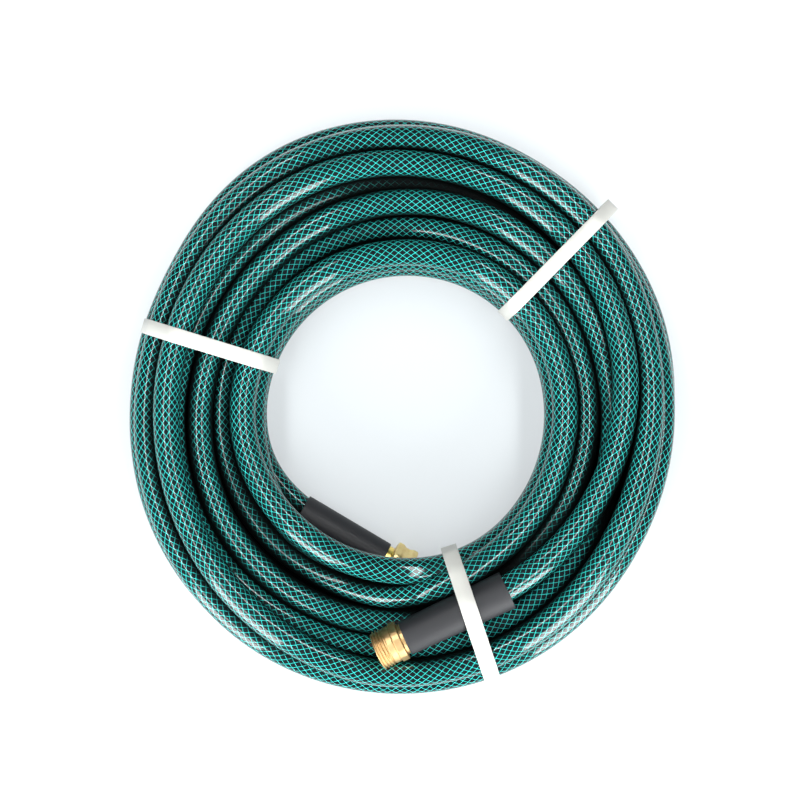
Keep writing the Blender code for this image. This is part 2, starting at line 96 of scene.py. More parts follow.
# How near its thread's radius a point of the profile takes part in the ridge, and how far past that radius the
# outside with its flats begins
NUT_RIDGE_REACH = 0.0002
NUT_OUTSIDE_FROM = 0.0010
NUT_CHAMFER = 0.0009
NUT_BACK_WALL = 0.0028
STEM_RADIUS = 0.0082
STEM_PLAY = 0.0005
FEMALE_FERRULE_FRONT = 0.0170
FEMALE_SLEEVE_FRONT = 0.0207
FEMALE_SLEEVE_REAR = 0.0897
FEMALE_HOSE_START = 0.0185

# Both ends: the sleeves over the hose, the cups crimped round it, the fittings' bore, and the gap between
# pieces that touch
SLEEVE_FRONT_RADIUS = 0.0121
SLEEVE_REAR_RADIUS = 0.0135
FERRULE_RADIUS = 0.0107
FERRULE_HOLE = 0.0087
FERRULE_END_WALL = 0.0012
FERRULE_HIDDEN = 0.0200
BORE_RADIUS = 0.00635
SEAT_GAP = 0.0003

# All the bands: their section, the step along them, the radius of their bends where they leave the hose, their
# gap to the floor, the directions in which they are looked up, and how often their line is evened
BAND_THICKNESS = 0.0010
BAND_LIFT = 0.0002
BAND_EDGE = 0.0003
BAND_STEP = 0.0015
BAND_INNER_BEND = 0.004
BAND_OUTER_BEND = 0.001
BAND_FLOOR_GAP = 0.0001
BAND_DIRECTIONS = 720
BAND_PASSES = 3
# Each band: its heading, how far it passes beside the coil's axis, its width, where it stands away from the
# hose (distance past the outermost turn, height), and its slack inside
BANDS = {
    "strap_left": (math.radians(162.9), 0.0, 0.0106, (), 0.0022),
    "strap_right": (math.radians(45.5), -0.0060, 0.0100, ((0.0030, 0.040),), 0.0012),
    "strap_front": (math.radians(-71.6), -0.0013, 0.0114, (), 0.0012),
}

# Where the turns lie. Each row is one turn from 0 degrees on, in millimetres from the coil's middle as seen
# from the camera at the male end's height, every 20 degrees; the hose runs through the rows from the first
# station, in degrees along the winding, to the last. Rows 5 to 11 lie hidden in the lower layers.
ROW_STEP = 20.0
STATION_STEP = 2.5
FIRST_STATION = 302.5
LAST_STATION = 16 * 360 + 222.5
TURN_RADII = (
    (146, 146, 146, 146, 146, 146, 146, 146, 146, 146, 146, 146, 146, 146, 146, 146, 146.1, 147.5),
    (153.5, 156.9, 163.2, 165.2, 166.9, 168.2, 167.7, 164.7, 162.4, 162.8, 165.9, 172.2,
     178, 183.7, 185.3, 180.7, 175.3, 170.4),
    (169.8, 173, 178, 181.6, 183.3, 184.9, 183.7, 178.7, 174.4, 175.3, 180.5, 186.4,
     189.7, 190, 189.3, 187.4, 183.1, 178.8),
    (177.4, 177.1, 177.3, 179, 180.8, 186.3, 184.9, 175.5, 165.6, 170.8, 176, 178.5,
     179.5, 180.8, 180.8, 180.8, 178.7, 176.6),
    (165, 165, 165, 165, 165, 165, 165, 165, 165, 165, 165, 170, 170, 170, 170, 170, 168, 168),
    (177, 180, 182, 182, 187, 189, 189, 181, 177, 178, 183, 187, 189, 189, 189, 187, 182, 179),
    (158, 159, 160, 161, 163, 166, 165, 159, 154, 156, 160, 164, 166, 166, 166, 166, 163, 160),
    (140, 140, 141, 142, 143, 146, 145, 141, 137, 138, 142, 146, 148, 148, 148, 148, 145, 142),
    (122, 122, 122, 123, 124, 126, 125, 123, 119, 120, 124, 128, 130, 130, 130, 130, 128, 124),
    (118, 118, 118, 117, 117, 117, 118, 118, 119, 121, 124, 128, 131, 132, 132, 132, 130, 126),
    (135, 135, 135, 136, 138, 140, 139, 137, 134, 138, 142, 146, 149, 150, 150, 150, 148, 144),
    (154.6, 154.8, 155.1, 155.4, 155.7, 155.9, 153.4, 150.9, 148.4, 151.5, 154.6, 160.7,
     166.8, 168.7, 167.3, 162.8, 157.3, 150.1),
    (142.8, 142.3, 141.9, 142.1, 141.5, 140.3, 137, 135.7, 137.4, 142.6, 147.2, 150.1,
     151.6, 151.8, 147, 134.5, 131.4, 128.5),
    (125.9, 125.1, 124.2, 123.7, 123.2, 122.8, 122.8, 122.8, 123, 124.5, 126.8, 128.7,
     128.8, 128.3, 125.9, 120.5, 117.2, 113.4),
    (112, 111.3, 109.8, 108.1, 105.8, 104.4, 105.8, 107.6, 108.7, 111.4, 112.4, 112.2,
     112.5, 113.9, 114.5, 114.5, 112.6, 107.8),
    (105.5, 105.6, 104.6, 103.8, 101.7, 100.6, 100.3, 102.1, 103.5, 105.6, 107.6, 109,
     110.4, 110.4, 110.4, 109.7, 109, 105.6),
    (104.2, 103.5, 101.8, 100.1, 98.4, 97.2, 97.2, 98.1, 99.6, 102.4, 104.8, 104.0,
     106.3, 106.3, 106.3, 106.3, 106.3, 106.3),
)
# Height from which the hose settles, in millimetres, by turn counted from 0 degrees of the first row
TURN_HEIGHTS = (
    (0.83, 68), (1.0, 61), (1.5, 58), (1.62, 55), (1.7, 49), (1.78, 49), (1.9, 54), (2.0, 50), (2.2, 42),
    (2.45, 45), (2.62, 45), (2.7, 40), (2.8, 40), (2.92, 44), (3.0, 31), (3.1, 28), (3.6, 28), (4.0, 27),
    (4.9, 27), (5.0, 11), (8.9, 11), (9.1, 27), (10.0, 27), (10.9, 28), (11.1, 37), (11.4, 38), (11.65, 37),
    (11.75, 37), (12.0, 42), (12.3, 45), (12.6, 44), (12.8, 42), (13.0, 38), (13.3, 34), (13.6, 42),
    (13.8, 43), (13.95, 50), (14.2, 46), (14.55, 50), (14.65, 50), (14.85, 50), (15.0, 32), (15.4, 28),
    (15.6, 28), (15.8, 26), (15.95, 14), (16.3, 11), (16.5, 11), (16.63, 17.7),
)
# How strongly each turn is held to its radius: those in sight firmly, the hidden ones loosely
TURN_HOLD = (0.5, 0.5, 0.5, 0.05, 0.05, 0.3, 0.01, 0.01, 0.01, 0.01, 0.01, 0.08, 0.4, 0.4, 0.5, 0.3, 0.3)
# Stretches held otherwise, from and to in degrees along the winding: two that come in sight, one that slips
# inwards unseen, and the end, which is free to run straight into the female sleeve
HOLD_STRETCHES = (
    (3 * 360, 3 * 360 + 45, 0.5), (11 * 360 + 235, 12 * 360, 0.4), (15 * 360 + 150, 16 * 360, 0.02),
    (16 * 360 + 205, 17 * 360, 0.05),
)
FREE_END = 16 * 360 + 205
FREE_END_INNER_OUTLINE = 0.090
# Some stretches lie deeper or shallower in the real pile than the settled turns do: the share that each one's
# seen sky is multiplied by, by turn, giving painted shade where it is below 1 and painted light where it is
# above 1
PAINTED_LIGHT_SHARES = (
    (11.05, 1.0), (11.15, 0.70), (11.27, 0.70), (11.38, 1.0), (11.62, 1.5), (11.72, 1.5), (11.80, 2.2),
    (11.93, 2.0), (12.0, 1.0), (13.12, 1.0), (13.22, 2.0), (13.45, 2.0), (13.56, 1.0),
)
# How the turns settle: the rounds, the fall in each, the share of the rounds after which they come to rest and
# the share of the fall that is left then
SETTLE_ROUNDS = 900
SETTLE_FALL = 0.00020
SETTLE_REST = 0.85
FALL_AT_REST = 0.3
# The pull to the wanted radius, the share of a push that is taken, and how much less of it a firmly held turn
# takes
HOLD_PULL = 0.3
PUSH_TAKEN = 0.7
HELD_AGAINST_PUSH = 0.6
# How far ahead of a fitting's free end the turns begin to make way for it
FITTING_NOSE = 0.060
# The hidden turns are pressed a little flat against each other
HIDDEN_TURNS = slice(4, 11)
PRESSED_RADIUS = 0.0083
# The coil's outer and inner outline as seen from the camera, in millimetres every 30 degrees
OUTLINE_STEP = 30.0
OUTLINE_OUTER = (186.9, 191.1, 191.5, 198.9, 198.7, 186.3, 188.0, 195.1, 198.9, 199.2, 196.7, 189.8)
OUTLINE_INNER = (96.6, 94.3, 91.4, 88.8, 88.5, 90.3, 93.7, 98.3, 103.3, 105.2, 105.6, 100.6)
# Smoothing of the laid hose, at a point each millimetre: half the window and the passes, for the whole line
# and once more for its height
LAID_STEP = 0.001
LINE_WINDOW, LINE_PASSES = 17, 5
HEIGHT_WINDOW, HEIGHT_PASSES = 12, 3
# The wound part begins past this share of a length at each end, and is fully wound at one more length
END_FADE = 0.12
END_FADE_START = 0.4
FITTING_STEP = 0.004

# The studio: how strongly its surroundings shine level and overhead, how bright the camera sees them, and its
# soft lights (place, size, power), all turned to the coil
WORLD_AT_HORIZON = 0.06
WORLD_OVERHEAD = 0.10
WORLD_AS_SEEN = 0.85
FLOOR_HALF = 3.0
LIGHTS = {
    "strip_left": ((-0.43, 0.0, 0.98), (1.9, 0.12), 13.5),
    "strip_right": ((0.43, 0.0, 0.98), (1.9, 0.12), 13.5),
    "broad_overhead": ((0, -0.25, 1.6), (1.8, 1.4), 0.7),
    "low_left": ((-1.03, -1.23, 0.62), (0.60, 1.2), 42.0),
    "low_right": ((0.95, -1.30, 0.62), (0.60, 1.2), 42.0),
}


def seen_scale(height):
    """How much larger a length at a height looks than one at the male end's height, the other way round."""
    return (CAMERA_PLACE[2] - height) / (CAMERA_PLACE[2] - MALE_END[2])


def make_camera():
    """A camera that looks down the coil's axis, as wide as the image at the male end's height."""
    data = bpy.data.cameras.new("camera_above")
    data.sensor_width = CAMERA_SENSOR * 1000
    data.lens = data.sensor_width * (CAMERA_PLACE[2] - MALE_END[2]) / IMAGE_WIDTH_AT_MALE_END
    data.clip_start = 0.01
    data.clip_end = 20
    camera = bpy.data.objects.new("camera_above", data)
    camera.location = CAMERA_PLACE
    bpy.context.collection.objects.link(camera)
    bpy.context.scene.camera = camera


def directions(heading):
    """Level unit vectors: one along a heading, (cos, sin), and one to its left, (-sin, cos)."""
    along = np.array((math.cos(heading), math.sin(heading), 0.0))
    return along, np.array((-along[1], along[0], 0.0))


def fitting_points(end, heading, distance):
    """Points on a fitting's straight line: end + heading direction times distance."""
    return np.asarray(end) + np.atleast_1d(distance)[:, None] * directions(heading)[0]


def smooth_step(x):
    """0 below 0, 1 above 1, and three x squared less two x cubed between."""
    x = np.clip(x, 0, 1)
    return x * x * (3 - 2 * x)


def polar(points):
    """Angle in degrees and radius of points round the coil's axis."""
    return np.degrees(np.arctan2(points[:, 1], points[:, 0])) % 360, np.hypot(points[:, 0], points[:, 1])


def obstacle(end, heading, rear, radius, columns):
    """A fitting as fixed disks in the upright sections it crosses, shrinking to nothing ahead of its free end:
    radius, height and half width by section."""
    along = np.linspace(-FITTING_NOSE, rear, 200)
    angle = polar(fitting_points(end, heading, along))[0]
    reach = polar(fitting_points(end, heading, np.maximum(along, 0.0)))[1]
    order = np.argsort(angle)
    centres = np.arange(columns) * STATION_STEP
    inside = (centres > angle.min()) & (centres < angle.max())
    size = radius * smooth_step((np.interp(centres, angle[order], along[order]) + FITTING_NOSE) / FITTING_NOSE)
    return inside, np.interp(centres, angle[order], reach[order]), np.full(columns, end[2]), size


def second_difference(values):
    """How far the mean of each value's two neighbours lies from it, twice over; nothing at the ends."""
    bend = np.zeros(len(values))
    bend[1:-1] = values[:-2] + values[2:] - 2 * values[1:-1]
    return bend


def outline_at(theta, outline):
    """Radius in metres of a closed outline at some angles, read straight between its own values."""
    closed = np.array(outline + outline[:1])
    return np.interp(theta % 360, np.arange(len(closed)) * OUTLINE_STEP, closed) / 1000


def parting(grid_r, grid_z, apart, pair, give):
    """How far each disk moves out and up to clear the others in its section: by its share of every overlap,
    along the line between the two middles."""
    dr = grid_r[:, None, :] - grid_r[None, :, :]
    dz = grid_z[:, None, :] - grid_z[None, :, :]
    gap = np.sqrt(dr**2 + dz**2) + 1e-9
    push = np.where(pair & (gap < apart), apart - gap, 0.0) * give
    out, up = push * dr / gap, push * dz / gap
    return out.sum(1) - out.sum(0), up.sum(1) - up.sum(0)


def settle_turns():
    """Lets the turns come to rest: disks in upright sections, each pulled to its turn's radius, falling, kept
    a diameter apart, and smoothed along the hose, so that the winding is one even curve. Gives the angle along
    the winding, the radius and the height of each disk."""
    columns = int(360 / STATION_STEP)
    theta = np.arange(FIRST_STATION, LAST_STATION + 0.1, STATION_STEP)
    index = np.round(theta / STATION_STEP).astype(int)
    turn, column = index // columns, index % columns
    table = np.array(TURN_RADII).ravel() / 1000
    wanted = np.interp(theta, np.arange(len(table)) * ROW_STEP, table)
    wanted = np.convolve(np.pad(wanted, 4, mode="edge"), np.ones(9) / 9, mode="valid")
    at, up = np.array(TURN_HEIGHTS).T
    z = np.interp(theta / 360, at, up) / 1000
    hold = np.interp(theta / 360, np.arange(len(TURN_HOLD)) + 0.5, TURN_HOLD)
    for start, end, held in HOLD_STRETCHES:
        hold[(theta > start) & (theta < end)] = held
    r = wanted * seen_scale(z)

    turns = len(TURN_RADII)
    rows = turns + 2
    slot_of = np.full((rows, columns), -1)
    slot_of[turn, column] = np.arange(len(theta))
    mine = slot_of >= 0
    order = slot_of[mine]
    there = mine.copy()
    grid_r = np.zeros((rows, columns))
    grid_z = np.zeros((rows, columns))
    half = np.full((rows, columns), HOSE_RADIUS)
    half[HIDDEN_TURNS] = PRESSED_RADIUS
    male = obstacle(MALE_END, MALE_HEADING, MALE_SLEEVE_REAR, COLLAR_RADIUS, columns)
    female = obstacle(FEMALE_END, FEMALE_HEADING, FEMALE_SLEEVE_REAR, NUT_FLAT, columns)
    for row, (inside, reach, height, radius) in ((turns, male), (turns + 1, female)):
        there[row] = inside
        grid_r[row], grid_z[row], half[row] = reach, height, radius
    pair = np.triu(np.ones((rows, rows), bool), 1)[:, :, None] & there[:, None, :] & there[None, :, :]
    apart = half[:, None, :] + half[None, :, :]
    # A disk gives way to another turn by half the overlap, and to a fitting, which stays, by all of it
    give = np.minimum(1.0, 1 / (mine[:, None, :] * 1.0 + mine[None, :, :] + 1e-9))
    outer, inner = outline_at(theta, OUTLINE_OUTER), outline_at(theta, OUTLINE_INNER)
    inner[theta > FREE_END] = FREE_END_INNER_OUTLINE
    first = (polar(fitting_points(MALE_END, MALE_HEADING, MALE_SLEEVE_REAR))[1][0], MALE_END[2])
    last = (polar(fitting_points(FEMALE_END, FEMALE_HEADING, FEMALE_SLEEVE_REAR))[1][0], FEMALE_END[2])
    for step in range(SETTLE_ROUNDS):
        late = step > SETTLE_ROUNDS * SETTLE_REST
        for _ in range(2 if late else 4):
            for q in (r, z):
                # Each disk moves towards the middle of its neighbours, and at first the bend is evened out too
                bend = second_difference(q)
                q += 0.2 * bend if late else 0.25 * bend - 0.05 * second_difference(bend)
        r += hold * HOLD_PULL * (wanted * seen_scale(z) - r)
        z -= SETTLE_FALL * (FALL_AT_REST if late else 1.0)
        r[:2], z[:2] = first
        r[-2:], z[-2:] = last
        for _ in range(3):
            grid_r[mine], grid_z[mine] = r[order], z[order]
            move_r, move_z = parting(grid_r, grid_z, apart, pair, give)
            r[order] += move_r[mine] * PUSH_TAKEN * (1 - HELD_AGAINST_PUSH * hold[order])
            z[order] += move_z[mine] * PUSH_TAKEN
            z[:] = np.maximum(z, FLOOR_GAP + HOSE_RADIUS)
            r[:] = np.clip(r, inner * seen_scale(z) + HOSE_RADIUS, outer * seen_scale(z) - HOSE_RADIUS)
    return theta, r, z


def along_path(points, step):
    """Points every step along a broken line, and how far along each is."""
    walked = np.concatenate(([0.0], np.cumsum(np.linalg.norm(np.diff(points, axis=0), axis=1))))
    count = int(round(walked[-1] / step)) + 1
    places = np.linspace(0, walked[-1], count)
    return np.stack([np.interp(places, walked, points[:, k]) for k in range(3)], axis=1), places


def smoothed(points, half_window, passes):
    """Each point becomes the mean of its neighbours on both sides; the ends go on straight."""
    kernel = np.ones(2 * half_window + 1) / (2 * half_window + 1)
    for _ in range(passes):
        steps = np.arange(half_window, 0, -1)[:, None]
        before = points[0] + (points[0] - points[1]) * steps
        after = points[-1] + (points[-1] - points[-2]) * steps[::-1]
        padded = np.concatenate((before, points, after))
        points = np.stack([np.convolve(padded[:, k], kernel, mode="valid") for k in range(3)], axis=1)
    return points


def hose_path():
    """The hose's middle line: straight out of the male sleeve, round the turns, straight into the female one.
    Smoothing pulls a bend of radius r inwards by spread / (2 r), and the wound part is put back by as much."""
    theta, r, z = settle_turns()
    angle = np.radians(theta)
    turns = np.stack((r * np.cos(angle), r * np.sin(angle), z), axis=1)
    male = fitting_points(MALE_END, MALE_HEADING, np.arange(MALE_HOSE_START, MALE_SLEEVE_REAR, FITTING_STEP))
    female = fitting_points(FEMALE_END, FEMALE_HEADING,
                            np.arange(FEMALE_SLEEVE_REAR, FEMALE_HOSE_START, -FITTING_STEP))
    rough = np.concatenate((male, turns[2:-2], female))
    fine, _ = along_path(rough, LAID_STEP)
    level = smoothed(fine, LINE_WINDOW, LINE_PASSES)
    level[:, 2] = smoothed(level, HEIGHT_WINDOW, HEIGHT_PASSES)[:, 2]
    spread = LINE_PASSES * ((2 * LINE_WINDOW + 1) ** 2 - 1) / 12 * LAID_STEP**2
    walked = np.arange(len(level)) * LAID_STEP
    from_start, from_end = walked / END_FADE, (walked[-1] - walked) / END_FADE
    wound = smooth_step(from_start - END_FADE_START) * smooth_step(from_end - END_FADE_START)
    level[:, :2] *= (1 + wound * spread / (2 * polar(level)[1] ** 2))[:, None]
    return along_path(level, HOSE_RING_STEP)


def path_frames(points):
    """Side and upper directions across a path: the side is the way ahead crossed with straight up, so it lies
    level and the hose never winds round itself."""
    ahead = np.gradient(points, axis=0)
    ahead /= np.linalg.norm(ahead, axis=1)[:, None]
    side = np.cross(ahead, (0.0, 0.0, 1.0))
    side /= np.linalg.norm(side, axis=1)[:, None]
    return side, np.cross(side, ahead)


def surface(name, grid, close_rows=False, close_across=True, caps=False, uv=None, flip=False):
    """A mesh object from a grid of points: a four-cornered face between each point, the next one and the next
    row, joined round where asked, with the grid's two parameters as UV where given."""
    rows, across = grid.shape[:2]
    i = np.arange(rows if close_rows else rows - 1)
    j = np.arange(across if close_across else across - 1)
    i, j = np.meshgrid(i, j, indexing="ij")
    i2, j2 = (i + 1) % rows, (j + 1) % across
    faces = np.stack((i * across + j, i2 * across + j, i2 * across + j2, i * across + j2), axis=-1)
    faces = faces.reshape(-1, 4)
    polygons = (faces[:, ::-1] if flip else faces).tolist()
    if caps:
        polygons += [list(range(across)), list(range((rows - 1) * across, rows * across))[::-1]]
    mesh = bpy.data.meshes.new(name)
    mesh.from_pydata(grid.reshape(-1, 3).tolist(), [], polygons)
    mesh.polygons.foreach_set("use_smooth", np.full(len(mesh.polygons), True))
    if uv is not None:
        u, v = uv
        corners_u = np.stack((j, j, j + 1, j + 1), axis=-1).ravel()
        corners_v = np.stack((i, i + 1, i + 1, i), axis=-1).ravel()
        values = np.zeros((len(mesh.loops), 2))
        values[:len(corners_u)] = np.stack((u[corners_u], v[corners_v]), axis=1)
        mesh.uv_layers.new(name="along_and_around").data.foreach_set("uv", values.ravel())
    mesh.update()
    piece = bpy.data.objects.new(name, mesh)
    bpy.context.collection.objects.link(piece)
    return piece


def sky_share_for_painted_shade(path, turn):
    """How much of the sky and floor each point of the hose sees past the other turns in its upright section: a
    sum over directions of the cosine to the surface, leaving out those that meet another turn's circle. It is
    scaled by the painted light shares and feeds the hose finish's painted shade."""
    some = np.append(np.arange(0, len(path) - 1, 3), len(path) - 1)
    angle = np.unwrap(np.arctan2(path[:, 1], path[:, 0]))
    reach = np.hypot(path[:, 0], path[:, 1])
    passes = int((angle[-1] - angle[0]) / math.tau) + 1
    laps = np.array([k for k in range(-passes, passes + 1) if k])
    at = angle[some, None] + math.tau * laps
    nowhere = 9.0
    others_r = np.interp(at, angle, reach, left=nowhere, right=nowhere)
    others_z = np.interp(at, angle, path[:, 2], left=nowhere, right=nowhere)
    point_r = reach[some, None] + HOSE_RADIUS * np.cos(turn)
    point_z = path[some, 2][:, None] + HOSE_RADIUS * np.sin(turn)
    dr = others_r[:, None, :] - point_r[:, :, None]
    dz = others_z[:, None, :] - point_z[:, :, None]
    lies = np.arctan2(dr, dz)
    half = np.arcsin(np.minimum(1.0, HOSE_RADIUS / np.hypot(dr, dz)))
    facing = np.arctan2(np.cos(turn), np.sin(turn))
    seen = np.zeros(point_r.shape)
    whole = 0.0
    floor_share = 0.6
    for look in np.radians(np.arange(-125, 126, 10)):
        weight = 1.0 if abs(look) < math.pi / 2 else floor_share
        off = np.abs((lies - look + math.pi) % math.tau - math.pi)
        free = np.all(off > half, axis=2)
        seen += weight * free * np.maximum(0.0, np.cos(facing - look))
        whole += weight * max(0.0, math.cos(look))
    places = np.arange(len(path))
    at, share = np.array(PAINTED_LIGHT_SHARES).T
    share = np.interp(angle / math.tau + 1, at, share)
    seen = np.stack([np.interp(places, some, seen[:, k] / whole) for k in range(len(turn))], axis=1)
    return np.minimum(1.0, seen * share[:, None])


def make_hose(path, places):
    """The hose: a circle carried along its middle line; u goes once round, v counts metres along."""
    side, upper = path_frames(path)
    turn = np.linspace(0, math.tau, HOSE_SIDES, endpoint=False)
    ring = side[:, None, :] * np.cos(turn)[None, :, None] + upper[:, None, :] * np.sin(turn)[None, :, None]
    grid = path[:, None, :] + HOSE_RADIUS * ring
    around = np.linspace(0, 1, HOSE_SIDES + 1)
    hose = surface("hose", grid, caps=True, uv=(around, places))
    # Stored for painted shade: the finish darkens each point by how little sky it sees
    stored = hose.data.attributes.new("sky_share_for_painted_shade", "FLOAT", "POINT")
    stored.data.foreach_set("value", sky_share_for_painted_shade(path, turn).ravel())
    return hose


def turned(name, end, heading, distance, radius, segments):
    """A turned piece: a closed profile of distance and radius, carried round the fitting's line. The radius may
    be a function of the angle round, as with a thread and a nut's flats."""
    turn = np.linspace(0, math.tau, segments, endpoint=False)
    radius = radius(turn) if callable(radius) else np.repeat(radius[:, None], segments, axis=1)
    along, side = directions(heading)
    upper = np.array((0.0, 0.0, 1.0))
    across = side * np.cos(turn)[:, None] + upper * np.sin(turn)[:, None]
    grid = np.asarray(end) + distance[:, None, None] * along + radius[..., None] * across[None]
    return surface(name, grid, close_rows=True, flip=True)


def dense(profile, step):
    """A closed profile of corners, with points at most step apart on each side."""
    corners = np.asarray(profile, float)
    following = np.roll(corners, -1, axis=0)
    counts = np.maximum(1, np.ceil(np.linalg.norm(following - corners, axis=1) / step).astype(int))
    parts = [a + (b - a) * (np.arange(n) / n)[:, None] for a, b, n in zip(corners, following, counts)]
    return np.concatenate(parts)


def rounded(profile, step, passes=2):
    """A closed profile with its corners eased: dense points averaged with their neighbours."""
    points = dense(profile, step)
    for _ in range(passes):
        points = (np.roll(points, 1, axis=0) + points + np.roll(points, -1, axis=0)) / 3
    return points


def flats(turn, sides, flat, corner):
    """Share of the corner radius that a many-sided outline with cut corners reaches at an angle."""
    sector = math.tau / sides
    off = (turn % sector) - sector / 2
    return np.minimum(1.0, flat / np.cos(off) / corner)


def thread(distance, turn):
    """Share of a one-start thread's height: a ridge with sloping sides, whose place climbs one pitch a turn."""
    place = distance[:, None] / THREAD_PITCH - turn[None, :] / math.tau
    wave = np.abs(((place + 0.5) % 1.0) - 0.5) * 2
    return smooth_step((0.80 - wave) / 0.62)


def make_male_coupling():
    """The male end: a one-start thread, a plain land, a groove and a six-sided collar."""
    outline = rounded((
        (0.0, BORE_RADIUS), (0.0, THREAD_ROOT), (THREAD_LENGTH, THREAD_ROOT),
        (THREAD_LENGTH + THREAD_SHOULDER, LAND_RADIUS), (LAND_END, LAND_RADIUS),
        (LAND_END + DIAMETER_STEP, GROOVE_RADIUS), (GROOVE_END, GROOVE_RADIUS),
        (GROOVE_END + DIAMETER_STEP, COLLAR_RADIUS), (COLLAR_END, COLLAR_RADIUS), (COLLAR_END, BORE_RADIUS)),
        step=0.00013)
    distance, radius = outline.T

    def shape(turn):
        """The profile's radius at an angle, with the thread's ridge added and the collar cut to flats."""
        base = np.repeat(radius[:, None], len(turn), axis=1)
        ridge = thread(distance, turn) * (THREAD_CREST - THREAD_ROOT)
        grown = smooth_step((distance - RIDGE_START) / RIDGE_GROWS)
        left = smooth_step((THREAD_LENGTH - RIDGE_END - distance) / RIDGE_SHRINKS)
        outer = radius > THREAD_ROOT - RIDGE_REACH
        base += ridge * (grown * left * outer)[:, None]
        collar = ((distance > GROOVE_END) & (radius > GROOVE_RADIUS + COLLAR_CUT))[:, None]
        return np.where(collar, base * flats(turn, 6, COLLAR_FLAT, COLLAR_RADIUS)[None, :], base)

    return turned("male_coupling", MALE_END, MALE_HEADING, distance, shape, segments=120)


def make_ferrule(name, end, heading, front, shown):
    """A thin brass cup with a rolled front edge: an L-shaped section turned round the hose."""
    rear = front + shown + FERRULE_HIDDEN
    bore = HOSE_RADIUS + SEAT_GAP
    floor = front + FERRULE_END_WALL
    outline = rounded(((front, FERRULE_HOLE), (front, FERRULE_RADIUS), (rear, FERRULE_RADIUS), (rear, bore),
                       (floor, bore), (floor, FERRULE_HOLE)), step=0.0002)
    return turned(name, end, heading, outline[:, 0], outline[:, 1], segments=72)


def make_sleeve(name, end, heading, front, rear):
    """A tapered sleeve: its radius grows evenly from the ferrule to the hose, with eased edges."""
    bore = HOSE_RADIUS + SEAT_GAP
    wide = FERRULE_RADIUS + SEAT_GAP
    ferrule_end = front + FERRULE_HIDDEN + SEAT_GAP
    outline = rounded(((front, wide), (front, SLEEVE_FRONT_RADIUS), (rear, SLEEVE_REAR_RADIUS), (rear, bore),
                       (ferrule_end, bore), (ferrule_end, wide)), step=0.0004)
    return turned(name, end, heading, outline[:, 0], outline[:, 1], segments=96)


def make_nut():
    """The swivel nut: a cast six-sided outline with a waist between two raised ends, threaded inside."""
    quarter = NUT_LENGTH / 4
    pocket = NUT_LENGTH - NUT_BACK_WALL
    hole = STEM_RADIUS + STEM_PLAY
    outline = rounded((
        (0.0, NUT_THREAD), (0.0, NUT_CORNER - NUT_CHAMFER), (NUT_CHAMFER, NUT_CORNER), (quarter, NUT_CORNER),
        (1.6 * quarter, NUT_WAIST), (2.4 * quarter, NUT_WAIST), (3 * quarter, NUT_CORNER),
        (NUT_LENGTH - NUT_CHAMFER, NUT_CORNER), (NUT_LENGTH, NUT_CORNER - NUT_CHAMFER), (NUT_LENGTH, hole),
        (pocket, hole), (pocket, NUT_THREAD)), step=0.0002)
    distance, radius = outline.T

    def shape(turn):
        """The profile's radius at an angle, with the ridge added in the bore and the outside cut to flats."""
        base = np.repeat(radius[:, None], len(turn), axis=1)
        bore = (np.abs(radius - NUT_THREAD) < NUT_RIDGE_REACH) & (distance < NUT_THREAD_END)
        base += thread(distance, turn) * NUT_THREAD_HEIGHT * bore[:, None]
        outer = (radius > NUT_THREAD + NUT_OUTSIDE_FROM)[:, None]
        return np.where(outer, base * flats(turn, 6, NUT_FLAT, NUT_CORNER)[None, :], base)

    return turned("nut_cast", FEMALE_END, FEMALE_HEADING, distance, shape, segments=144)


def band_outline(path, angle, beside, width, proud, inner_room, discs):
    """A band's closed line in its upright plane, as distance out and height: in each direction the furthest
    point of all the circles that it passes round, then set evenly and averaged with its neighbours."""
    outward, across = directions(angle)
    dense_path, _ = along_path(path, LAID_STEP)
    near = (np.abs(dense_path @ across - beside) < width / 2) & (dense_path @ outward > 0)
    centres = np.stack((dense_path[near] @ outward, dense_path[near, 2]), axis=1)
    sizes = np.full(len(centres), HOSE_RADIUS)
    outer = centres[:, 0].max() + HOSE_RADIUS
    inner = centres[:, 0].min() - HOSE_RADIUS
    middle = 0.5 * centres[:, 1].max()
    stands_away = [(outer + reach - BAND_OUTER_BEND, height, BAND_OUTER_BEND) for reach, height in proud]
    slack = (inner - inner_room + BAND_INNER_BEND, middle, BAND_INNER_BEND)
    extra = np.array([*discs, *stands_away, slack])
    centres = np.concatenate((centres, extra[:, :2]))
    sizes = np.concatenate((sizes, extra[:, 2]))
    look = np.linspace(0, math.tau, BAND_DIRECTIONS, endpoint=False)
    normal = np.stack((np.cos(look), np.sin(look)), axis=1)
    best = np.argmax(centres @ normal.T + sizes[:, None], axis=0)
    rim = centres[best] + sizes[best][:, None] * normal
    closed = np.concatenate((rim, rim[:1]))
    flat = np.column_stack((closed, np.zeros(len(closed))))
    even, _ = along_path(flat, BAND_STEP)
    even = even[:-1, :2]
    for _ in range(BAND_PASSES):
        even = (np.roll(even, 1, axis=0) + even + np.roll(even, -1, axis=0)) / 3
    return even


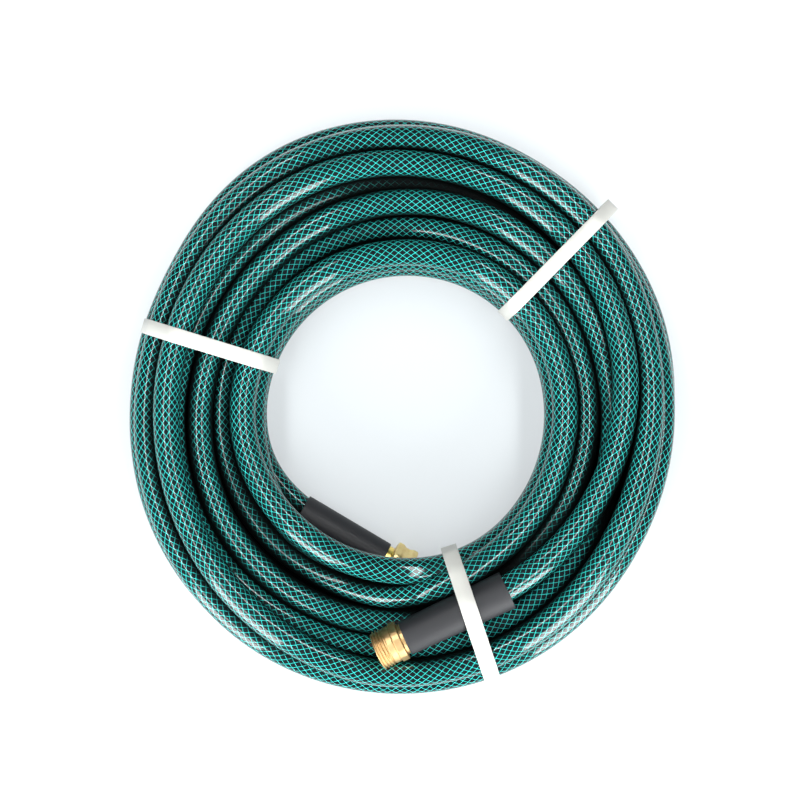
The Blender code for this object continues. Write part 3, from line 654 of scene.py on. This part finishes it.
def make_band(name, outline, angle, beside, width):
    """A white band: a flat profile with eased edges carried along its outline, square to it and never below
    the floor."""
    outward, across = directions(angle)
    ahead = np.roll(outline, -1, axis=0) - np.roll(outline, 1, axis=0)
    ahead /= np.linalg.norm(ahead, axis=1)[:, None]
    out = np.stack((ahead[:, 1], -ahead[:, 0]), axis=1)
    low, high, wide, edge = BAND_LIFT, BAND_LIFT + BAND_THICKNESS, width / 2, BAND_EDGE
    profile = np.array((
        (low, -wide + edge), (low, 0), (low, wide - edge), (low + edge, wide), (high - edge, wide),
        (high, wide - edge), (high, 0), (high, -wide + edge), (high - edge, -wide), (low + edge, -wide)))
    rim = outline[:, None, :] + out[:, None, :] * profile[None, :, :1]
    rim[..., 1] = np.maximum(rim[..., 1], BAND_FLOOR_GAP)
    grid = (rim[..., :1] * outward + rim[..., 1:] * np.array((0.0, 0.0, 1.0))
            + (profile[None, :, 1:] + beside) * across)
    return surface(name, grid, close_rows=True)


class Finish:
    """A material under way: adds nodes, joins them, and sets the surface's own sockets."""

    def __init__(self, name):
        self.material = bpy.data.materials.new(name)
        self.material.use_nodes = True
        self.nodes = self.material.node_tree.nodes
        self.links = self.material.node_tree.links
        self.surface = self.nodes["Principled BSDF"]

    def set(self, **values):
        """Sets the surface's own sockets, named with underscores for spaces."""
        for key, value in values.items():
            self.surface.inputs[key.replace("_", " ")].default_value = value

    def node(self, kind, inputs=(), **settings):
        """A new node, with each input joined to a socket or set to a value."""
        item = self.nodes.new(kind)
        for key, value in settings.items():
            setattr(item, key, value)
        for key, value in dict(inputs).items():
            if isinstance(value, bpy.types.NodeSocket):
                self.links.new(value, item.inputs[key])
            else:
                item.inputs[key].default_value = value
        return item

    def math(self, operation, *values):
        """One arithmetic step on one or two values."""
        return self.node("ShaderNodeMath", enumerate(values), operation=operation).outputs[0]

    def ramp(self, value, low, high):
        """0 below low, 1 above high, eased between."""
        item = self.node("ShaderNodeMapRange", {"Value": value, "From Min": low, "From Max": high},
                         interpolation_type="SMOOTHSTEP")
        return item.outputs["Result"]

    def mix(self, share, a, b):
        """Colour a where share is 0, colour b where it is 1."""
        item = self.node("ShaderNodeMix", {0: share, 6: a, 7: b}, data_type="RGBA")
        return item.outputs[2]

    def noise(self, place, scale, detail=2.0):
        """Smooth noise between 0 and 1, scale waves to the metre."""
        item = self.node("ShaderNodeTexNoise", {"Vector": place, "Scale": scale, "Detail": detail})
        return item.outputs["Fac"]

    def bump(self, height, distance, strength):
        """The surface's normal, tilted as if a height of 1 stood out by distance."""
        item = self.node("ShaderNodeBump", {"Height": height, "Distance": distance, "Strength": strength})
        return item.outputs["Normal"]

    def to(self, name, socket):
        """Joins a socket to one of the surface's own."""
        self.links.new(socket, self.surface.inputs[name])


def object_place(finish):
    """Place on the part, in metres."""
    return finish.node("ShaderNodeTexCoord").outputs["Object"]


def hose_finish():
    """Turquoise yarns laid in two crossing spirals on a near-black wall, under a clear glossy cover, with
    painted shade between and under the turns.
    """
    f = Finish("hose_braid_under_clear_cover")
    f.set(Roughness=0.60, Specular_IOR_Level=0.05, Coat_Roughness=0.07, Coat_IOR=1.36)
    uv = f.node("ShaderNodeUVMap", uv_map="along_and_around").outputs["UV"]
    parts = f.node("ShaderNodeSeparateXYZ", {0: uv})
    around = f.math("MULTIPLY", parts.outputs["X"], YARNS_EACH_WAY)
    along = f.math("DIVIDE", parts.outputs["Y"], YARN_PITCH)
    place = object_place(f)
    waver = f.math("MULTIPLY", f.math("SUBTRACT", f.noise(place, 90.0), 0.5), 0.16)
    yarn_edge, yarn_middle = 0.455, 0.480
    yarns = []
    for sign in ("ADD", "SUBTRACT"):
        phase = f.math("ADD", f.math(sign, around, along), waver)
        away = f.math("ABSOLUTE", f.math("SUBTRACT", f.math("FRACT", phase), 0.5))
        yarns.append(f.ramp(away, yarn_edge, yarn_middle))
    yarn = f.math("MAXIMUM", *yarns)
    crossing = f.math("MULTIPLY", *yarns)
    tone = f.noise(place, 35.0, 3.0)
    light = f.mix(crossing, f.mix(tone, (0.026, 0.70, 0.635, 1), (0.042, 0.88, 0.81, 1)), (0.14, 0.98, 0.93, 1))
    wall = f.mix(tone, (0.0018, 0.004, 0.005, 1), (0.0035, 0.0075, 0.0095, 1))
    free = f.node("ShaderNodeAttribute", attribute_name="sky_share_for_painted_shade").outputs["Fac"]
    # Painted shade: colour falls to near black and the cover's gloss fades where a point sees little sky,
    # between and under the turns
    shut, open_to_the_sky, fall_off = 0.23, 0.80, 1.75
    shade = f.math("POWER", f.ramp(free, shut, open_to_the_sky), fall_off)
    f.to("Base Color", f.mix(shade, (0.001, 0.002, 0.002, 1), f.mix(yarn, wall, light)))
    f.to("Coat Weight", shade)
    cell = f.math("MULTIPLY", f.math("COSINE", f.math("MULTIPLY", f.math("ADD", around, along), math.tau)),
                  f.math("COSINE", f.math("MULTIPLY", f.math("SUBTRACT", around, along), math.tau)))
    f.to("Normal", f.bump(f.math("ADD", yarn, f.math("MULTIPLY", cell, 0.3)), 0.0002, 0.8))
    f.to("Coat Normal", f.bump(cell, 0.00002, 0.06))
    return f.material


def sleeve_finish():
    """Satin black plastic with a faint moulded grain."""
    f = Finish("sleeve_satin_black")
    f.set(Specular_IOR_Level=0.32)
    place = object_place(f)
    grain = f.noise(place, 900.0, 3.0)
    soft = f.noise(place, 28.0, 3.0)
    f.to("Base Color", f.mix(soft, (0.012, 0.013, 0.015, 1), (0.020, 0.021, 0.024, 1)))
    f.to("Roughness", f.math("ADD", f.math("MULTIPLY", soft, 0.14), 0.46))
    f.to("Normal", f.bump(grain, 0.00005, 0.5))
    return f.material


def turned_brass_finish(name, heading, colour_a, colour_b, roughness):
    """Bright brass with fine turning lines round its line and slight tarnish."""
    f = Finish(name)
    f.set(Metallic=1.0)
    place = object_place(f)
    turned_place = f.node("ShaderNodeMapping", {"Vector": place, "Rotation": (0, 0, -heading),
                                                "Scale": (1.0, 0.02, 0.02)}, vector_type="POINT").outputs[0]
    lines = f.noise(turned_place, 2600.0, 2.0)
    stain = f.noise(place, 160.0, 4.0)
    f.to("Base Color", f.mix(stain, colour_a, colour_b))
    f.to("Roughness", f.math("ADD", f.math("MULTIPLY", stain, 0.14), roughness))
    f.to("Normal", f.bump(lines, 0.00002, 0.12))
    return f.material


def cast_brass_finish():
    """Sand-cast brass: dull, pitted, paler in random patches."""
    f = Finish("nut_sand_cast_brass")
    f.set(Metallic=1.0)
    place = object_place(f)
    pits = f.noise(place, 1500.0, 4.0)
    patch = f.noise(place, 220.0, 4.0)
    f.to("Base Color", f.mix(patch, (0.74, 0.54, 0.19, 1), (0.98, 0.82, 0.44, 1)))
    f.to("Roughness", f.math("ADD", f.math("MULTIPLY", pits, 0.25), 0.32))
    f.to("Normal", f.bump(pits, 0.00018, 0.7))
    return f.material


def rubber_finish():
    """Matt black rubber with a little dust."""
    f = Finish("washer_black_rubber")
    place = object_place(f)
    dust = f.noise(place, 400.0, 3.0)
    f.to("Base Color", f.mix(dust, (0.012, 0.012, 0.012, 1), (0.028, 0.027, 0.026, 1)))
    f.to("Roughness", f.math("ADD", f.math("MULTIPLY", dust, 0.2), 0.6))
    f.to("Normal", f.bump(dust, 0.00004, 0.4))
    return f.material


def band_finish():
    """Smooth white plastic band, very slightly warm, with faint fine marks."""
    f = Finish("band_smooth_white")
    f.set(Specular_IOR_Level=0.4)
    place = object_place(f)
    cloud = f.noise(place, 60.0, 3.0)
    fine = f.noise(place, 1400.0, 2.0)
    f.to("Base Color", f.mix(cloud, (0.45, 0.46, 0.43, 1), (0.51, 0.51, 0.485, 1)))
    f.to("Roughness", f.math("ADD", f.math("MULTIPLY", fine, 0.12), 0.40))
    f.to("Normal", f.bump(fine, 0.00003, 0.35))
    return f.material


def floor_finish():
    """A white floor that shines by itself, a little less under the coil, so that its shadow stays faint."""
    f = Finish("floor_white")
    f.set(Roughness=0.75, Specular_IOR_Level=0.2, Emission_Color=(0.93, 0.975, 1.0, 1))
    place = object_place(f)
    cloud = f.noise(place, 1.5, 2.0)
    f.to("Base Color", f.mix(cloud, (0.25, 0.27, 0.28, 1), (0.26, 0.28, 0.29, 1)))
    away = f.node("ShaderNodeVectorMath", {0: place}, operation="LENGTH").outputs["Value"]
    under, beside, glow, more_beside = 0.18, 0.24, 0.45, 0.32
    beyond = f.math("MULTIPLY", f.ramp(away, under, beside), more_beside)
    f.to("Emission Strength", f.math("ADD", beyond, glow))
    return f.material


def dress(piece, material, slot, body, *nodes):
    """Gives a piece its finish and its body, and hides the CAD nodes it stands for; the slot argument is not
    used.
    """
    piece.data.materials.clear()
    piece.data.materials.append(material)
    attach(piece, body)
    if nodes:
        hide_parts(*nodes)
    return piece


def dress_node(node, material):
    """Gives a CAD node that keeps its shape its finish."""
    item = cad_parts[node]
    if not item.material_slots:
        item.data.materials.append(material)
    for slot in item.material_slots:
        slot.material = material


def add_light(name, place, size, power):
    """A soft rectangular light at place, turned to the coil's middle."""
    data = bpy.data.lights.new(name, "AREA")
    data.shape = "RECTANGLE"
    data.size, data.size_y = size
    data.energy = power
    lamp = bpy.data.objects.new(name, data)
    lamp.location = place
    aim = Vector((0, 0, 0)) - Vector(place)
    lamp.rotation_euler = aim.to_track_quat("-Z", "Y").to_euler()
    bpy.context.collection.objects.link(lamp)


def make_studio():
    """White floor, even white surroundings, two long strips overhead, a broad soft light, and two tall low ones
    at the front."""
    sides = (-FLOOR_HALF, FLOOR_HALF)
    grid = np.array([[(x, y, 0.0) for x in sides] for y in sides])
    floor = surface("floor", grid, close_across=False, flip=True)
    floor.data.materials.append(floor_finish())
    world = bpy.data.worlds.new("studio")
    world.use_nodes = True
    tree = world.node_tree
    background = tree.nodes["Background"]
    background.inputs["Color"].default_value = (0.97, 0.99, 1.0, 1)
    looking = tree.nodes.new("ShaderNodeTexCoord")
    parts = tree.nodes.new("ShaderNodeSeparateXYZ")
    fade = tree.nodes.new("ShaderNodeMapRange")
    fade.inputs["From Min"].default_value = 0.1
    fade.inputs["From Max"].default_value = 0.9
    fade.inputs["To Min"].default_value = WORLD_AT_HORIZON
    fade.inputs["To Max"].default_value = WORLD_OVERHEAD
    tree.links.new(looking.outputs["Generated"], parts.inputs[0])
    tree.links.new(parts.outputs["Z"], fade.inputs["Value"])
    seen = tree.nodes.new("ShaderNodeLightPath")
    strength = tree.nodes.new("ShaderNodeMix")
    strength.inputs["B"].default_value = WORLD_AS_SEEN
    tree.links.new(seen.outputs["Is Camera Ray"], strength.inputs["Factor"])
    tree.links.new(fade.outputs["Result"], strength.inputs["A"])
    tree.links.new(strength.outputs["Result"], background.inputs["Strength"])
    bpy.context.scene.world = world
    bpy.context.scene.view_settings.view_transform = "Standard"
    for name, (place, size, power) in LIGHTS.items():
        add_light(name, place, size, power)


def make_pieces():
    """Makes and dresses every piece."""
    path, places = hose_path()
    hose = make_hose(path, places)
    dress(hose, hose_finish(), "hose", "hose", "hose_coil", "hose_tail_male", "hose_tail_female")
    black = sleeve_finish()
    male_brass = turned_brass_finish("male_turned_brass", MALE_HEADING, (0.51, 0.335, 0.15, 1),
                                     (0.60, 0.42, 0.21, 1), 0.34)
    female_brass = turned_brass_finish("ferrule_bright_brass", FEMALE_HEADING, (0.90, 0.66, 0.14, 1),
                                       (0.95, 0.76, 0.25, 1), 0.24)
    cast = cast_brass_finish()
    rubber = rubber_finish()
    white = band_finish()
    dress(make_male_coupling(), male_brass, "brass", "hose", "coupling_male")
    dress(make_ferrule("male_ferrule", MALE_END, MALE_HEADING, MALE_FERRULE_FRONT,
                       MALE_SLEEVE_FRONT - MALE_FERRULE_FRONT), male_brass, "brass", "hose", "ferrule_male")
    dress(make_sleeve("male_sleeve", MALE_END, MALE_HEADING, MALE_SLEEVE_FRONT, MALE_SLEEVE_REAR),
          black, "sleeve_black", "hose", "sleeve_male")
    nut = dress(make_nut(), cast, "cast_brass", "swivel", "swivel_nut")
    ferrule = dress(make_ferrule("female_ferrule", FEMALE_END, FEMALE_HEADING, FEMALE_FERRULE_FRONT,
                                 FEMALE_SLEEVE_FRONT - FEMALE_FERRULE_FRONT),
                    female_brass, "brass", "hose", "ferrule_female")
    sleeve = dress(make_sleeve("female_sleeve", FEMALE_END, FEMALE_HEADING, FEMALE_SLEEVE_FRONT,
                               FEMALE_SLEEVE_REAR), black, "sleeve_black", "hose", "sleeve_female")
    dress_node("swivel_stem", female_brass)
    dress_node("washer", rubber)
    sleeve_line = fitting_points(MALE_END, MALE_HEADING, np.linspace(MALE_SLEEVE_FRONT, MALE_SLEEVE_REAR, 200))
    for name, (angle, beside, width, proud, inner_room) in BANDS.items():
        outward, across = directions(angle)
        crossing = sleeve_line[np.abs(sleeve_line @ across - beside) < width / 2]
        crossing = crossing[crossing @ outward > 0]
        discs = [(point @ outward, point[2], SLEEVE_REAR_RADIUS) for point in crossing[::6]]
        outline = band_outline(path, angle, beside, width, proud, inner_room, discs)
        band = make_band(name + "_band", outline, angle, beside, width)
        dress(band, white, "strap_white", "hose", name)


make_camera()
make_pieces()
make_studio()
